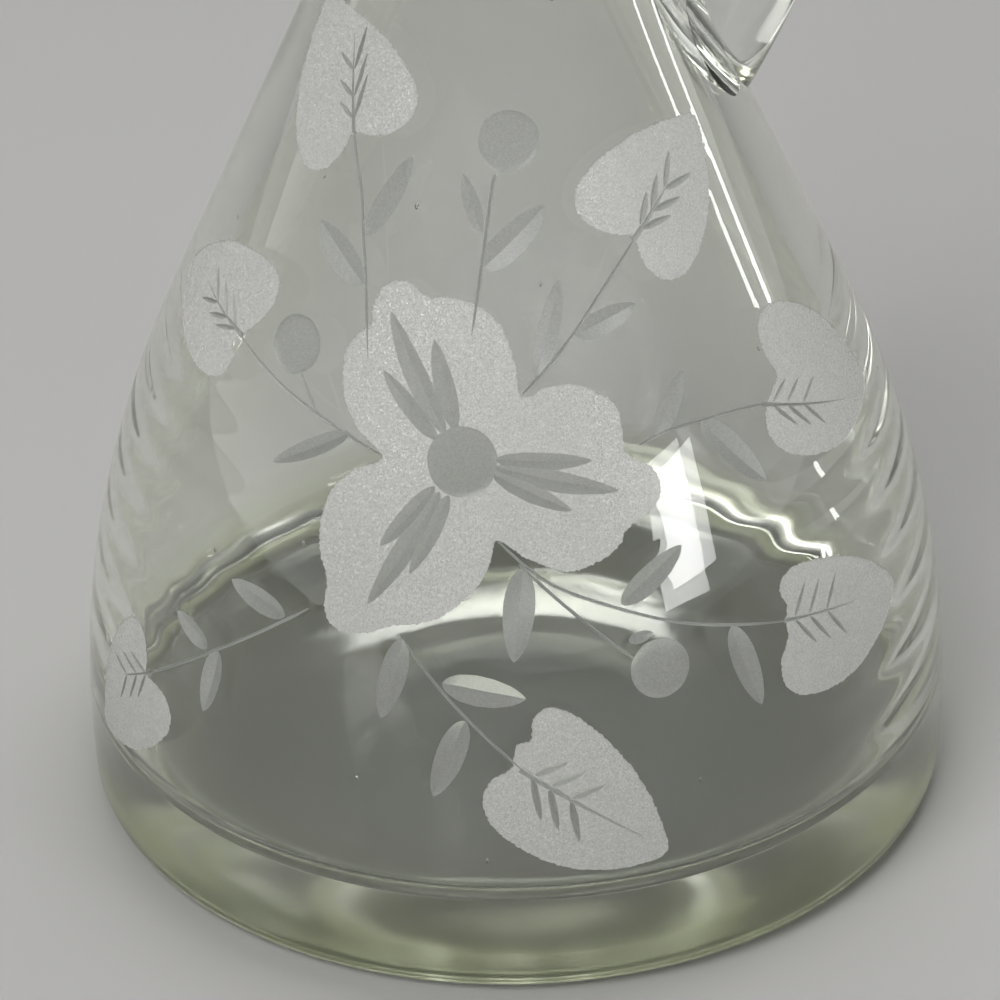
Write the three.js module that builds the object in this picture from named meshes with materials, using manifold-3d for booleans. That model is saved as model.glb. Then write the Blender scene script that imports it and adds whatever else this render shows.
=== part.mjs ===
// Handled glass decanter: a thick-walled bell-shaped vessel with a flared pouring lip, a loop handle
// applied to its shoulder and neck, and a ball stopper ground to fit the neck.
// Millimetres, +Z up. The origin is the middle of the base, on the surface that the decanter stands on.
// The handle lies towards +X, the pouring lip towards -X.
import * as THREE from "three";
import { mergeVertices } from "three/addons/utils/BufferGeometryUtils.js";
import Module from "manifold-3d";

// Clearance between two pieces that meet
const SEAT_GAP = 0.3;

// Vessel: underside and base
const BASE_RADIUS = 65;
const HEEL_RADIUS = 4.5;
const REST_RING_WIDTH = 11;
const PUNT_DEPTH = 2.5;
const BASE_THICKNESS = 10;
const FLOOR_FILLET = 8;

// Vessel: side, cone and neck. The side and the cone are straight lines that meet at a corner, and
// so are the cone and the neck. Each corner is rounded over a blend length, measured along the height.
const SIDE_CORNER_HEIGHT = 43.4;
const SIDE_BLEND = 34;
const CONE_HALF_ANGLE = THREE.MathUtils.degToRad(25.1);
const NECK_RADIUS = 17;
const NECK_BLEND_BELOW = 25;
const NECK_BLEND_ABOVE = 17;
const NECK_LENGTH = 40;
const SIDE_WALL = 5.5;
const CONE_WALL = 5.3;

// Vessel: ground seat for the stopper, pouring lip and spout
const SEAT_WALL = 3.8;
const SEAT_LENGTH = 22;
const SEAT_TAPER = 0.05;
const LIP_HEIGHT = 18;
const LIP_RADIUS = 25;
const LIP_WALL = 3.6;
const SPOUT_REACH = 6;
const SPOUT_DIP = 2;
const SPOUT_HALF_ANGLE = THREE.MathUtils.degToRad(34);

// Handle: a loop of hot-worked glass, thick and wide where it is pressed on
const FOOT_DROP = 30.5;
const FOOT_RISE_ANGLE = THREE.MathUtils.degToRad(60.5);
const FOOT_THICKNESS = 14;
const FOOT_WIDTH = 15;
const FOOT_LEAD = 18;
const GRIP_THICKNESS = 10;
const GRIP_WIDTH = 12.5;
const CREST_DROP = 17;
const CREST_RISE_ANGLE = THREE.MathUtils.degToRad(8);
const CREST_THICKNESS = 11;
const CREST_WIDTH = 16;
const CREST_LEAD = 20;
const HANDLE_REACH = 31;
const BEND_DROP = 37;
const BEND_LEAD = 16;

// Stopper: ground plug, waist and ball
const PLUG_CHAMFER = 1;
const WAIST_RADIUS = 9.5;
const WAIST_FLARE = 9;
const BALL_RADIUS = 20;
const BALL_HEIGHT = 36;
const BALL_CLEARANCE = 2;

// Facets
const ROUND_FACETS = 48;
const STOPPER_FACETS = 36;
const HANDLE_FACETS = 14;
const CURVE_STEPS = 5;
const HANDLE_STEPS = 13;

const CONE_SLOPE = Math.tan(CONE_HALF_ANGLE);
const CONE_STRETCH = 1 / Math.cos(CONE_HALF_ANGLE);

// Radius of the cone at a height, moved in horizontally by shift
function coneRadius(height, shift) {
  return BASE_RADIUS - shift - (height - SIDE_CORNER_HEIGHT) * CONE_SLOPE;
}

// Height at which the cone, moved in by shift, has a radius
function coneHeight(radius, shift) {
  return SIDE_CORNER_HEIGHT + (BASE_RADIUS - shift - radius) / CONE_SLOPE;
}

const NECK_CORNER_HEIGHT = coneHeight(NECK_RADIUS, 0);
const LIP_START_HEIGHT = NECK_CORNER_HEIGHT + NECK_LENGTH;
const RIM_HEIGHT = LIP_START_HEIGHT + LIP_HEIGHT;
const LIP_EDGE_HEIGHT = RIM_HEIGHT - LIP_WALL / 2;
const SEAT_TOP_RADIUS = NECK_RADIUS - SEAT_WALL;
const SEAT_BOTTOM_RADIUS = SEAT_TOP_RADIUS - SEAT_TAPER * SEAT_LENGTH;
const SEAT_BOTTOM_HEIGHT = LIP_START_HEIGHT - SEAT_LENGTH;

const wasm = await Module();
wasm.setup();

// A closed geometry as a solid that can be cut
function toSolid(geometry) {
  const bare = geometry.index ? geometry.toNonIndexed() : geometry.clone();
  bare.deleteAttribute("normal");
  bare.deleteAttribute("uv");
  const merged = mergeVertices(bare, 1e-4);
  return new wasm.Manifold(
    new wasm.Mesh({
      numProp: 3,
      vertProperties: merged.attributes.position.array,
      triVerts: new Uint32Array(merged.index.array),
    }),
  );
}

// A solid back as a geometry
function toGeometry(solid) {
  const mesh = solid.getMesh();
  const geometry = new THREE.BufferGeometry();
  geometry.setAttribute("position", new THREE.BufferAttribute(mesh.vertProperties, 3));
  geometry.setIndex(new THREE.BufferAttribute(mesh.triVerts, 1));
  geometry.computeVertexNormals();
  return geometry;
}

// A closed profile of (radius, height) points turned about +Z
function revolve(points, facets) {
  const geometry = new THREE.LatheGeometry(points, facets);
  geometry.rotateX(Math.PI / 2);
  return geometry;
}

// A closed tube through rings of equally many points, with a fan over each end
function loft(rings) {
  const sides = rings[0].length;
  const middle = (ring) => ring.reduce((sum, p) => sum.add(p), new THREE.Vector3()).divideScalar(sides);
  const vertices = [...rings.flat(), middle(rings[0]), middle(rings.at(-1))];
  const firstMiddle = vertices.length - 2;
  const lastMiddle = vertices.length - 1;
  const faces = [];
  for (let ring = 0; ring + 1 < rings.length; ring++) {
    for (let side = 0; side < sides; side++) {
      const next = (side + 1) % sides;
      const [a, b] = [ring * sides + side, ring * sides + next];
      faces.push(a, b, b + sides, a, b + sides, a + sides);
    }
  }
  const lastRing = (rings.length - 1) * sides;
  for (let side = 0; side < sides; side++) {
    const next = (side + 1) % sides;
    faces.push(firstMiddle, next, side);
    faces.push(lastMiddle, lastRing + side, lastRing + next);
  }
  const geometry = new THREE.BufferGeometry().setFromPoints(vertices);
  geometry.setIndex(faces);
  return geometry;
}

// Draws one wall line of the vessel upwards: side, rounded corner, cone, rounded corner, neck
function drawWall(path, { sideRadius, coneShift, neckRadius, sideBottom }) {
  const sideCorner = coneHeight(sideRadius, coneShift);
  const neckCorner = coneHeight(neckRadius, coneShift);
  const coneBottom = sideCorner + SIDE_BLEND;
  const coneTop = neckCorner - NECK_BLEND_BELOW;
  path.lineTo(sideRadius, sideBottom);
  path.quadraticCurveTo(sideRadius, sideCorner, coneRadius(coneBottom, coneShift), coneBottom);
  path.lineTo(coneRadius(coneTop, coneShift), coneTop);
  path.quadraticCurveTo(neckRadius, neckCorner, neckRadius, neckCorner + NECK_BLEND_ABOVE);
}

// Flares a wall line out from the neck to the edge of the lip
function drawLip(path, lipRadius) {
  const { x, y } = path.currentPoint;
  path.quadraticCurveTo(x, (y + LIP_EDGE_HEIGHT) / 2, lipRadius, LIP_EDGE_HEIGHT);
}

// The outside of the vessel from the middle of the underside to the lip, moved out by extra
function outerPath(extra) {
  const sideRadius = BASE_RADIUS + extra;
  const ringOuter = BASE_RADIUS - HEEL_RADIUS;
  const ringInner = ringOuter - REST_RING_WIDTH;
  const path = new THREE.Path();
  path.moveTo(0, PUNT_DEPTH);
  path.quadraticCurveTo(ringInner / 2, PUNT_DEPTH, ringInner, 0);
  path.lineTo(ringOuter, 0);
  path.quadraticCurveTo(sideRadius, 0, sideRadius, HEEL_RADIUS);
  const wall = { sideRadius, coneShift: -extra * CONE_STRETCH, neckRadius: NECK_RADIUS + extra };
  drawWall(path, { ...wall, sideBottom: SIDE_CORNER_HEIGHT - SIDE_BLEND });
  path.lineTo(NECK_RADIUS + extra, LIP_START_HEIGHT);
  drawLip(path, LIP_RADIUS + extra);
  return path;
}

// The inside of the vessel from the middle of its floor, through the ground seat, to the lip
function innerPath() {
  const sideRadius = BASE_RADIUS - SIDE_WALL;
  const filletTop = BASE_THICKNESS + FLOOR_FILLET;
  const path = new THREE.Path();
  path.moveTo(0, BASE_THICKNESS);
  path.lineTo(sideRadius - FLOOR_FILLET, BASE_THICKNESS);
  path.quadraticCurveTo(sideRadius, BASE_THICKNESS, sideRadius, filletTop);
  const wall = { sideRadius, coneShift: CONE_WALL * CONE_STRETCH, neckRadius: SEAT_BOTTOM_RADIUS };
  drawWall(path, { ...wall, sideBottom: filletTop });
  path.lineTo(SEAT_BOTTOM_RADIUS, SEAT_BOTTOM_HEIGHT);
  path.lineTo(SEAT_TOP_RADIUS, LIP_START_HEIGHT);
  drawLip(path, LIP_RADIUS - LIP_WALL);
  return path;
}

// Pulls the lip out and down into a spout on the -X side
function pullSpout(geometry) {
  const position = geometry.getAttribute("position");
  for (let i = 0; i < position.count; i++) {
    const [x, y, z] = [position.getX(i), position.getY(i), position.getZ(i)];
    const rise = Math.max(0, z - LIP_START_HEIGHT) / LIP_HEIGHT;
    const away = Math.atan2(y, -x) / SPOUT_HALF_ANGLE;
    const pull = rise ** 2 * Math.exp(-(away ** 2));
    const stretch = 1 + (SPOUT_REACH * pull) / Math.max(Math.hypot(x, y), NECK_RADIUS / 2);
    position.setXYZ(i, x * stretch, y * stretch, z - SPOUT_DIP * pull);
  }
}

function makeVessel() {
  const rim = new THREE.Path();
  rim.absarc(LIP_RADIUS - LIP_WALL / 2, LIP_EDGE_HEIGHT, LIP_WALL / 2, 0, Math.PI);
  const outside = outerPath(0).getPoints(CURVE_STEPS);
  const inside = innerPath().getPoints(CURVE_STEPS).reverse();
  const overRim = rim.getPoints(CURVE_STEPS - 2).slice(1, -1);
  const geometry = revolve([...outside, ...overRim, ...inside], ROUND_FACETS);
  pullSpout(geometry);
  return geometry;
}

// Line of the handle in the XZ plane: up and out of the shoulder, round, and in to the neck.
// Each end runs on inside the glass that it is pressed on, so that its cut end fits that glass.
function handleLine() {
  const footHeight = NECK_CORNER_HEIGHT - FOOT_DROP;
  const crestHeight = RIM_HEIGHT - CREST_DROP;
  const foot = new THREE.Vector3(coneRadius(footHeight, 0), 0, footHeight);
  const crest = new THREE.Vector3(NECK_RADIUS, 0, crestHeight);
  const bend = new THREE.Vector3(NECK_RADIUS + HANDLE_REACH, 0, RIM_HEIGHT - BEND_DROP);
  const along = (angle, length) => new THREE.Vector3(Math.cos(angle) * length, 0, Math.sin(angle) * length);
  const up = new THREE.Vector3(0, 0, BEND_LEAD);
  const footLead = foot.clone().add(along(FOOT_RISE_ANGLE, FOOT_LEAD));
  const crestLead = crest.clone().add(along(CREST_RISE_ANGLE, CREST_LEAD));
  const line = new THREE.CurvePath();
  line.add(new THREE.LineCurve3(foot.clone().sub(along(FOOT_RISE_ANGLE, FOOT_LEAD)), foot));
  line.add(new THREE.CubicBezierCurve3(foot, footLead, bend.clone().sub(up), bend));
  line.add(new THREE.CubicBezierCurve3(bend, bend.clone().add(up), crestLead, crest));
  line.add(new THREE.LineCurve3(crest, crest.clone().sub(along(CREST_RISE_ANGLE, CREST_THICKNESS))));
  return line;
}

// Thickness and width of the handle at a share of its length
function handleSection(share) {
  const towardsFoot = 1 - THREE.MathUtils.smoothstep(share, 0.1, 0.55);
  const towardsCrest = THREE.MathUtils.smoothstep(share, 0.65, 0.95);
  const between = (foot, grip, crest) => grip + (foot - grip) * towardsFoot + (crest - grip) * towardsCrest;
  return {
    thickness: between(FOOT_THICKNESS, GRIP_THICKNESS, CREST_THICKNESS),
    width: between(FOOT_WIDTH, GRIP_WIDTH, CREST_WIDTH),
  };
}

function makeHandle() {
  const line = handleLine();
  const sideways = new THREE.Vector3(0, 1, 0);
  const steps = HANDLE_STEPS * line.curves.length;
  const rings = [];
  for (let step = 0; step <= steps; step++) {
    const share = step / steps;
    const centre = line.getPointAt(share);
    const outward = line.getTangentAt(share).cross(sideways).negate();
    const { thickness, width } = handleSection(share);
    const ring = [];
    for (let side = 0; side < HANDLE_FACETS; side++) {
      const turn = (side / HANDLE_FACETS) * 2 * Math.PI;
      const point = centre.clone().addScaledVector(outward, (Math.cos(turn) * thickness) / 2);
      ring.push(point.addScaledVector(sideways, (Math.sin(turn) * width) / 2));
    }
    rings.push(ring);
  }
  const outline = outerPath(SEAT_GAP).getPoints(CURVE_STEPS);
  outline.push(new THREE.Vector2(0, LIP_EDGE_HEIGHT));
  const vesselWithGap = toSolid(revolve(outline, ROUND_FACETS));
  return toGeometry(toSolid(loft(rings)).subtract(vesselWithGap));
}

function makeStopper() {
  const plugTop = LIP_START_HEIGHT;
  const plugTopRadius = SEAT_TOP_RADIUS - SEAT_GAP;
  const plugBottomRadius = SEAT_BOTTOM_RADIUS - SEAT_GAP;
  const ballMiddle = RIM_HEIGHT + BALL_CLEARANCE + BALL_HEIGHT / 2;
  const ballStart = -Math.acos(WAIST_RADIUS / BALL_RADIUS);
  const path = new THREE.Path();
  path.moveTo(0, SEAT_BOTTOM_HEIGHT);
  path.lineTo(plugBottomRadius - PLUG_CHAMFER, SEAT_BOTTOM_HEIGHT);
  path.lineTo(plugBottomRadius + SEAT_TAPER * PLUG_CHAMFER, SEAT_BOTTOM_HEIGHT + PLUG_CHAMFER);
  path.lineTo(plugTopRadius, plugTop);
  path.quadraticCurveTo(WAIST_RADIUS, plugTop, WAIST_RADIUS, plugTop + WAIST_FLARE);
  path.lineTo(WAIST_RADIUS, ballMiddle + (BALL_HEIGHT / 2) * Math.sin(ballStart));
  path.absellipse(0, ballMiddle, BALL_RADIUS, BALL_HEIGHT / 2, ballStart, Math.PI / 2);
  const points = path.getPoints(CURVE_STEPS);
  points.at(-1).x = 0;
  return revolve(points, STOPPER_FACETS);
}

// Clear glass with the faint yellow-green cast of old soda glass; the plug of the stopper is ground
function glass(colour, roughness) {
  return new THREE.MeshStandardMaterial({ color: colour, roughness, metalness: 0 });
}

function addPiece(group, name, geometry, material) {
  const mesh = new THREE.Mesh(geometry, material);
  mesh.name = name;
  group.add(mesh);
}

const decanter = new THREE.Group();
addPiece(decanter, "vessel", makeVessel(), glass(0xdfe6d6, 0.04));
addPiece(decanter, "handle", makeHandle(), glass(0xdde5d2, 0.03));
addPiece(decanter, "stopper", makeStopper(), glass(0xdfe6d6, 0.06));

export default decanter;
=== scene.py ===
"""Handled decanter of clear soda glass, engraved with a spray of one flower, heart leaves and berries.

Sizes are in millimetres until a piece is placed. Every finished mesh is in metres, in its solid's frame.
"""

import bisect
import math
import random

import bmesh
import bpy
from mathutils import Matrix, Vector


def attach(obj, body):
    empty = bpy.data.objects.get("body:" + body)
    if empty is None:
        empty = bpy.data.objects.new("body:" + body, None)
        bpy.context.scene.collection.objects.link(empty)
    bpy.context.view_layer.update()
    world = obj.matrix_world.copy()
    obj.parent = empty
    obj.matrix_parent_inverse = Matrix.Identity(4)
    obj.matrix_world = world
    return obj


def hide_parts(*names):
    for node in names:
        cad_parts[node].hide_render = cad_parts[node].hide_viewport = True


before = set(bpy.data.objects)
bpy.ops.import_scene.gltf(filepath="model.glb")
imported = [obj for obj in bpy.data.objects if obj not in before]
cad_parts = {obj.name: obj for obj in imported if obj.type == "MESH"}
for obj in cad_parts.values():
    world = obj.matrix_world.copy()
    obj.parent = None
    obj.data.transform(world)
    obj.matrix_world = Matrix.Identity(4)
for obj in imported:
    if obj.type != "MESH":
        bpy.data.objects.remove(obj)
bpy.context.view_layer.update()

MM = 0.001

# Vessel, as its solid has it
BASE_RADIUS = 65
HEEL_RADIUS = 4.5
REST_RING_WIDTH = 11
PUNT_DEPTH = 2.5
PUNT_FLAT = 0.2
BASE_THICKNESS = 10
FLOOR_FILLET = 8
SIDE_CORNER_HEIGHT = 43.4
SIDE_BLEND = 34
CONE_HALF_ANGLE = math.radians(25.1)
NECK_RADIUS = 17
NECK_BLEND_BELOW = 25
NECK_BLEND_ABOVE = 17
NECK_LENGTH = 40
SIDE_WALL = 5.5
CONE_WALL = 5.3
SEAT_WALL = 3.8
SEAT_LENGTH = 22
SEAT_TAPER = 0.05
LIP_HEIGHT = 18
LIP_RADIUS = 25
LIP_WALL = 3.6
SPOUT_REACH = 6
SPOUT_DIP = 2
SPOUT_SPREAD = 21
SPOUT_HOLD = math.radians(4)

# The rounding of the inner floor's edge starts farther in than on the solid
FLOOR_ROUNDING = 17

# Handle
FOOT_DROP = 30.5
FOOT_RISE_ANGLE = math.radians(60.5)
FOOT_THICKNESS = 14
FOOT_WIDTH = 15
FOOT_LEAD = 18
GRIP_THICKNESS = 10
GRIP_WIDTH = 12.5
CREST_DROP = 17
CREST_RISE_ANGLE = math.radians(8)
CREST_THICKNESS = 11
CREST_WIDTH = 16
CREST_LEAD = 20
FOOT_SPAN = (0.1, 0.55)
CREST_SPAN = (0.65, 0.95)
HANDLE_REACH = 31
BEND_DROP = 37
BEND_LEAD = 16
WELD_DEPTH = 0.15
HANDLE_SIDES = 40
HANDLE_SQUARENESS = 2.1

# Stopper
SEAT_GAP = 0.3
PLUG_CHAMFER = 1
WAIST_RADIUS = 9.5
WAIST_FLARE = 9
BALL_RADIUS = 20
BALL_HEIGHT = 36
BALL_CLEARANCE = 2
WAIST_FILLET = 2.5

# Unevenness of the hand-blown inside and underside: rings that lie closer higher up and keep to the sides,
# and slow waves that end below the seat
RING_DEPTH = 0.15
RING_SPAN = (14, 80)
RING_RATE = 40
RING_TOP = 190
RING_UNIT = 20
RING_TO_SIDES = 6
WAVE_DEPTH = 0.25
WAVE_LENGTH = 0.045
WAVE_END = 40
WAVE_MARGIN = 2

# Slack for telling a vertex by its place
SLACK = 0.1

# Segments of round pieces, and the degrees from which an edge stays sharp
VESSEL_SEGMENTS = 160
STOPPER_SEGMENTS = 96
SHARP_EDGE = 20

# Engraving: the grain of the frosted work, then the depths of cuts. The edge of a cut starts above the wall
# by a share of its depth.
FROST_DEPTH = 0.06
FROST_GRAIN = 0.62
FROST_RELIEF = 0.04
GRAIN_SCATTER = 0.32
GRAIN_BIAS = 1.5
FIELD_MARGIN = 1
STENCIL_BOTTOM = -2
STENCIL_HEIGHT = 5
EDGE_GRAIN = 0.22
EDGE_SPREAD = 0.14
CUT_DEPTH = 0.6
CUT_START = 0.04
CUT_REACH = 1.25
LEAST_FULLNESS = 0.02
PETAL_CUT_DEPTH = 0.7
HOLLOW_DEPTH = 0.35
HOLLOW_START = 0.06
HOLLOW_FLATNESS = 10
STEM_WIDTH = 0.5
STEM_DEPTH = 0.3
VEIN_DEPTH = 0.4
ABOVE_WALL = 0.6

# The middle of the spray, degrees round from the front
SPRAY_TURN = -15.5

# Finishes of faces, as places in the list of a piece's materials; the first is clear
FROST, CUT = 1, 2

# Seeds in the glass: place, depth under the surface, width
SEED_STRETCH = 1.5
SEEDS = [
    ((-13.2, 108), 1.6, 0.6),
    ((14, 99), 2.2, 0.4),
    ((-25, 64), 1.8, 0.5),
    ((-14, 33), 2.4, 0.4),
    ((18, 73), 1.5, 0.35),
    ((-41, 58), 2.6, 0.5),
    ((31, 31), 2.0, 0.45),
    ((3, 22), 2.8, 0.5),
    ((-64, 97), 1.7, 0.5),
    ((92, 66), 2.2, 0.6),
    ((140, 48), 2.5, 0.5),
    ((-128, 84), 1.6, 0.45),
    ((171, 112), 1.9, 0.5),
]

# Glass: its wear, its cast where light goes a long way in it, and the shades of its finishes. Round the
# heel the cast lies on the outside only, and fades out between two heights.
GLASS_IOR = 1.5
GLOSS_RANGE = (0.0, 0.02)
WORN_HEIGHT = 3.2
WEAR = 0.09
CAST_TINT = (0.66, 0.73, 0.42)
CAST_AT_EDGES = 0.7
EDGE_BLEND = 0.2
CAST_AT_HEEL = 1.0
CAST_HEIGHTS = (8, 22)
CAST_SKIN = (3.5, 1)
PATCH_SHARE = 0.25
PATCH_SIZE = 12
CLEAR_SHADES = [(0.0, (0.955, 0.97, 0.945)), (1.0, (1.0, 1.0, 0.995))]
# Frost: a shade per chip of grit. The greys are the grain's own tone; the white chips at the top are
# painted glints
FROST_SHADES_AND_PAINTED_GLINTS = [(0.0, (0.62, 0.62, 0.595)), (0.78, (0.80, 0.80, 0.775)), (0.92, (1.0, 1.0, 0.975))]
CUT_SHADES = [(0.0, (0.54, 0.55, 0.53)), (1.0, (0.70, 0.71, 0.685))]
PLUG_SHADES = [(0.0, (0.72, 0.75, 0.71)), (1.0, (0.86, 0.88, 0.84))]

# Studio, in metres: levels of the sky from the horizon up; lamps with place, size, power, spread in degrees
FLOOR_SIZE = 8
FLOOR_DROP = 0.0002
FLOOR_COLOUR = (0.43, 0.426, 0.417)
FLOOR_ROUGHNESS = 0.8
FLOOR_SHEEN = 0.1
SKY_LEVELS = [(0.0, 0.9), (0.1, 0.5), (0.22, 0.1), (1.0, 0.14)]
LAMP_TARGET = Vector((0, 0, 0.08))
LAMPS = [
    ("ceiling_lamp", (0.0, 0.0, 3.5), (6.0, 6.0), 28, 180),
    ("front_lamp", (-0.75, -0.83, 1.4), (0.9, 0.9), 18, 180),
    ("right_lamp", (0.95, -1.07, 0.26), (0.35, 0.3), 0.26, 50),
    ("strip_lamp", (1.36, 0.11, 0.15), (0.045, 0.26), 0.018, 40),
    ("top_lamp", (0.19, 0.31, 1.5), (0.9, 0.6), 10, 180),
]

# Camera: degrees round to the right and up, then millimetres
CAMERA_LENS = 140.4
CAMERA_SENSOR = 36
CAMERA_TURN = -8
CAMERA_TILT = 31.41
CAMERA_ROLL = 1.46
CAMERA_ASIDE = -1.84
CAMERA_AIM_HEIGHT = 42
CAMERA_DISTANCE = 582

CONE_SLOPE = math.tan(CONE_HALF_ANGLE)
CONE_STRETCH = 1 / math.cos(CONE_HALF_ANGLE)


def cone_radius(height, shift=0.0):
    return BASE_RADIUS - shift - (height - SIDE_CORNER_HEIGHT) * CONE_SLOPE


def cone_height(radius, shift=0.0):
    return SIDE_CORNER_HEIGHT + (BASE_RADIUS - shift - radius) / CONE_SLOPE


NECK_CORNER_HEIGHT = cone_height(NECK_RADIUS)
LIP_START_HEIGHT = NECK_CORNER_HEIGHT + NECK_LENGTH
RIM_HEIGHT = LIP_START_HEIGHT + LIP_HEIGHT
LIP_EDGE_HEIGHT = RIM_HEIGHT - LIP_WALL / 2
SEAT_TOP_RADIUS = NECK_RADIUS - SEAT_WALL
SEAT_BOTTOM_RADIUS = SEAT_TOP_RADIUS - SEAT_TAPER * SEAT_LENGTH
SEAT_BOTTOM_HEIGHT = LIP_START_HEIGHT - SEAT_LENGTH


def eased(value, start, end):
    t = min(max((value - start) / (end - start), 0), 1)
    return t * t * (3 - 2 * t)


def bend(start, corner, end, steps):
    """Points of a round bend from start to end that would meet at corner, without start."""
    points = []
    for step in range(1, steps + 1):
        t = step / steps
        weights = ((1 - t) ** 2, 2 * t * (1 - t), t * t)
        points.append(tuple(sum(w * p[i] for w, p in zip(weights, (start, corner, end))) for i in (0, 1)))
    return points


def straight(start, end, steps):
    return [tuple(a + (b - a) * step / steps for a, b in zip(start, end)) for step in range(1, steps + 1)]


def wall_line(side_radius, cone_shift, neck_radius, side_bottom, steps):
    """One wall line of the vessel from the foot of its side up to its neck."""
    side_corner = cone_height(side_radius, cone_shift)
    neck_corner = cone_height(neck_radius, cone_shift)
    cone_bottom = (cone_radius(side_corner + SIDE_BLEND, cone_shift), side_corner + SIDE_BLEND)
    cone_top = (cone_radius(neck_corner - NECK_BLEND_BELOW, cone_shift), neck_corner - NECK_BLEND_BELOW)
    line = [(side_radius, side_bottom)]
    line += bend(line[-1], (side_radius, side_corner), cone_bottom, steps[0])
    line += straight(cone_bottom, cone_top, steps[1])
    line += bend(cone_top, (neck_radius, neck_corner), (neck_radius, neck_corner + NECK_BLEND_ABOVE), 20)
    return line


def lip_line(start, lip_radius):
    return bend(start, (start[0], (start[1] + LIP_EDGE_HEIGHT) / 2), (lip_radius, LIP_EDGE_HEIGHT), 14)


def outside_line(extra=0.0):
    """The outside of the vessel from its side up to the lip, moved out by extra."""
    side_bottom = SIDE_CORNER_HEIGHT - SIDE_BLEND
    line = wall_line(BASE_RADIUS + extra, -extra * CONE_STRETCH, NECK_RADIUS + extra, side_bottom, (30, 16))
    line += straight(line[-1], (NECK_RADIUS + extra, LIP_START_HEIGHT), 6)
    return line + lip_line(line[-1], LIP_RADIUS + extra)


def base_line(extra=0.0):
    """The underside from its middle: shallow hollow, flat ring that it stands on, rounded heel."""
    ring_outer = BASE_RADIUS - HEEL_RADIUS
    ring_inner = ring_outer - REST_RING_WIDTH
    side = BASE_RADIUS + extra
    shares = [step / 16 for step in range(17)]
    line = [(ring_inner * share, PUNT_DEPTH * (1 - eased(share, PUNT_FLAT, 1))) for share in shares]
    line += straight(line[-1], (ring_outer, 0.0), 2)
    line += bend(line[-1], (side, 0.0), (side, HEEL_RADIUS), 16)
    return line


def ring_rise(height, turn):
    """How far the rings inside the vessel stand out at a height and at a turn from the spray."""
    share = (height - RING_SPAN[0]) / (RING_SPAN[1] - RING_SPAN[0])
    if not 0 < share < 1:
        return 0.0
    depth = RING_DEPTH * math.sqrt(math.sin(math.pi * share)) * math.sin(turn) ** RING_TO_SIDES
    return depth * math.sin(RING_RATE * math.pi * math.log((RING_TOP - height) / RING_UNIT))


def inside_line():
    """The inside of the vessel from the middle of its floor up to the lip."""
    side = BASE_RADIUS - SIDE_WALL
    line = [(0.0, BASE_THICKNESS)]
    line += straight(line[0], (side - FLOOR_ROUNDING, BASE_THICKNESS), 6)
    line += bend(line[-1], (side, BASE_THICKNESS), (side, BASE_THICKNESS + FLOOR_FILLET), 22)
    wall = wall_line(side, CONE_WALL * CONE_STRETCH, SEAT_BOTTOM_RADIUS, line[-1][1], (110, 40))
    line += wall[1:]
    line += straight(line[-1], (SEAT_BOTTOM_RADIUS, SEAT_BOTTOM_HEIGHT), 1)
    line += straight(line[-1], (SEAT_TOP_RADIUS, LIP_START_HEIGHT), 8)
    return line + lip_line(line[-1], LIP_RADIUS - LIP_WALL)


def rim_line():
    middle, half = LIP_RADIUS - LIP_WALL / 2, LIP_WALL / 2
    turns = [math.pi * step / 16 for step in range(1, 16)]
    return [(middle + half * math.cos(t), LIP_EDGE_HEIGHT + half * math.sin(t)) for t in turns]


# The outside of the wall as the engraver meets it: a place is degrees round from the spray and a height.
WALL = outside_line()
WALL_RADII = [p[0] for p in WALL]
WALL_HEIGHTS = [p[1] for p in WALL]
WALL_LENGTHS = [0.0]
for lower, upper in zip(WALL, WALL[1:]):
    WALL_LENGTHS.append(WALL_LENGTHS[-1] + math.dist(lower, upper))


def read_off(value, known, wanted):
    """The value of wanted at the place where known has value, between the points of the wall."""
    i = min(max(bisect.bisect_right(known, value), 1), len(known) - 1)
    share = (value - known[i - 1]) / (known[i] - known[i - 1])
    return wanted[i - 1] + share * (wanted[i] - wanted[i - 1])


def on_wall(place, across, up, rise):
    """The point in metres that lies across and up from a place on the wall, and rise above its surface."""
    along = read_off(place[1], WALL_HEIGHTS, WALL_LENGTHS) + up
    height = read_off(along, WALL_LENGTHS, WALL_HEIGHTS)
    radius = read_off(along, WALL_LENGTHS, WALL_RADII)
    above, below = (read_off(along + step, WALL_LENGTHS, WALL_RADII) for step in (0.5, -0.5))
    lean = above - below
    turn = math.radians(place[0] + SPRAY_TURN) + across / radius
    reach = radius + rise * math.sqrt(max(0.0, 1 - lean * lean))
    return Vector((reach * math.sin(turn), -reach * math.cos(turn), height - rise * lean)) * MM


def between_places(start, end):
    """How far end lies across and up from start, in millimetres along the wall."""
    radius = read_off((start[1] + end[1]) / 2, WALL_HEIGHTS, WALL_RADII)
    rise = read_off(end[1], WALL_HEIGHTS, WALL_LENGTHS) - read_off(start[1], WALL_HEIGHTS, WALL_LENGTHS)
    return math.radians(end[0] - start[0]) * radius, rise


def clear_selection():
    if bpy.context.object and bpy.context.object.mode != "OBJECT":
        bpy.ops.object.mode_set(mode="OBJECT")
    bpy.ops.object.select_all(action="DESELECT")


def pick(piece):
    clear_selection()
    piece.select_set(True)
    bpy.context.view_layer.objects.active = piece


def drop(piece):
    mesh = piece.data
    bpy.data.objects.remove(piece)
    bpy.data.meshes.remove(mesh)


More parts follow.
